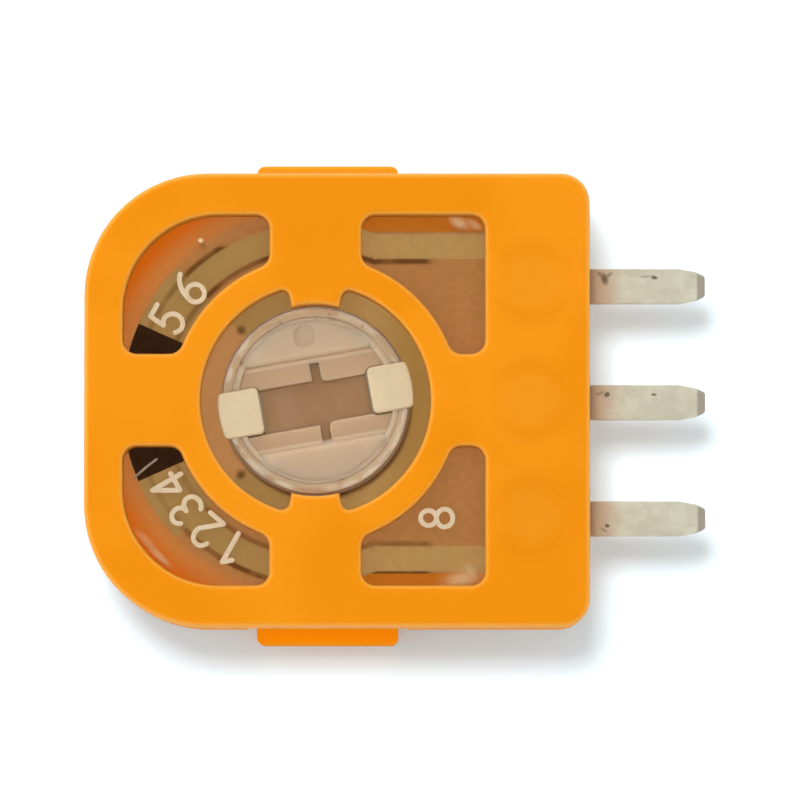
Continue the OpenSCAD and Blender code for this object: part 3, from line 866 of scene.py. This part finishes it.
def hub_rim(finish):
    """The hub's rolled rim: an uneven crest, a soft groove inside it and a film of flash outside."""
    profile = [
        (1.64, HUB_Z - 0.32),
        (2.035, HUB_Z - 0.338),
        (2.03, HUB_Z - 0.325),
        (2.0, HUB_Z - 0.31),
        (1.99, HUB_Z - 0.27),
        (1.985, HUB_Z - 0.12),
        (1.972, HUB_Z - 0.05),
        (1.95, HUB_Z - 0.01),
        (1.92, HUB_Z + 0.012),
        (1.89, HUB_Z + 0.008),
        (1.86, HUB_Z - 0.016),
        (1.835, HUB_Z - 0.045),
        (1.81, HUB_Z - 0.07),
        (1.79, HUB_Z - 0.075),
        (1.775, HUB_Z - 0.062),
        (1.755, HUB_Z - 0.048),
        (1.72, HUB_Z - 0.044),
        (1.69, HUB_Z - 0.046),
        (1.66, HUB_Z - 0.06),
        (1.64, HUB_Z - 0.09),
    ]
    bm = bmesh.new()
    spun_ring(bm, profile, steps=240)
    for v in bm.verts:
        if v.co.z > HUB_Z - 0.12:
            out = v.co.copy()
            out.z = 0
            out.normalize()
            wave = noise.noise(v.co * 2.6) + 0.5 * noise.noise(v.co * 7)
            v.co += out * 0.018 * wave
            v.co.z += 0.026 * noise.noise(v.co * 3.4 + Vector((5, 3, 1))) - 0.008
    return keep(bm, "hub_rim", "rotor", finish, smooth=60)


def carrier_disc(finish):
    """The carrier, with every edge rolled over."""
    bm = solid_copy("wiper_carrier")
    round_off(bm, sharp_edges(bm), 0.06, 4)
    return keep(bm, "carrier_disc", "rotor", finish, ["wiper_carrier"])


# ---------------------------------------------------------------- the part
studio_camera()
studio_sky()
key_around = studio_lamp("key_around", (-0.1, 0.23, 1), 0.3, 0.075, 0.61, False)
key_through = studio_lamp("key_through", (-0.1, 0.2, 1), 0.3, 0.085, 0.6, False)
studio_lamp("overhead_panel", (-0.05, 0.05, 1), 0.35, 0.4, 0.44, False)
studio_lamp("left_card", (-1, 0.1, 0.42), 0.35, 0.14, 0.06, True)

shell = housing_shell(housing_plastic())
board_slab(amber_board())
board_figures(matt_ink("cream_marking_ink", shown(236, 218, 184), shown(226, 206, 170)))
# A faint pale hairline across the end of the carbon.
pale_hairline(matt_ink("pale_hairline_finish", shown(176, 158, 132), shown(140, 122, 100)))
milky = hub_plastic()
clear = [shell, drive_disc(milky), hub_rim(milky), carrier_disc(carrier_plastic())]
tin = tin_plate()
opaque = []
for i in (1, 2, 3):
    opaque += [solder_pin(i, tin), hollow_rivet(i, tin)]

silver_ink = matt_ink(
    "silver_ink", (0.6, 0.49, 0.29, 1), (0.54, 0.44, 0.26, 1), carbon_and_shade_lines=0.5, left_colour=(0.48, 0.39, 0.22, 1)
)
prints = {
    "insulating_coat": matt_ink(
        "tan_coat", (0.57, 0.35, 0.2, 1), (0.51, 0.31, 0.165, 1), carbon_and_shade_lines=0.9, thin_edge=(0.72, 0.34, 0.13, 1)
    ),
    "carbon_track": matt_ink("carbon_ink", (0.03, 0.016, 0.01, 1), (0.045, 0.026, 0.018, 1)),
    "lead_trace_1": silver_ink,
    "lead_trace_3": silver_ink,
    "collector_trace": silver_ink,
    "wiper": spring_metal(),
}
for node, finish in prints.items():
    solids[node].data.materials.clear()
    solids[node].data.materials.append(finish)

# The housing and the rotor let light through, so they shade the table and the metal but not each other.
opaque.append(studio_floor())
key_around.light_linking.receiver_collection = light_group("opaque_lit", opaque, "INCLUDE")
key_through.light_linking.receiver_collection = light_group("glowing_lit", opaque, "EXCLUDE")
key_through.light_linking.blocker_collection = light_group("glowing_clear", clear, "EXCLUDE")

scene.view_settings.view_transform = "Standard"
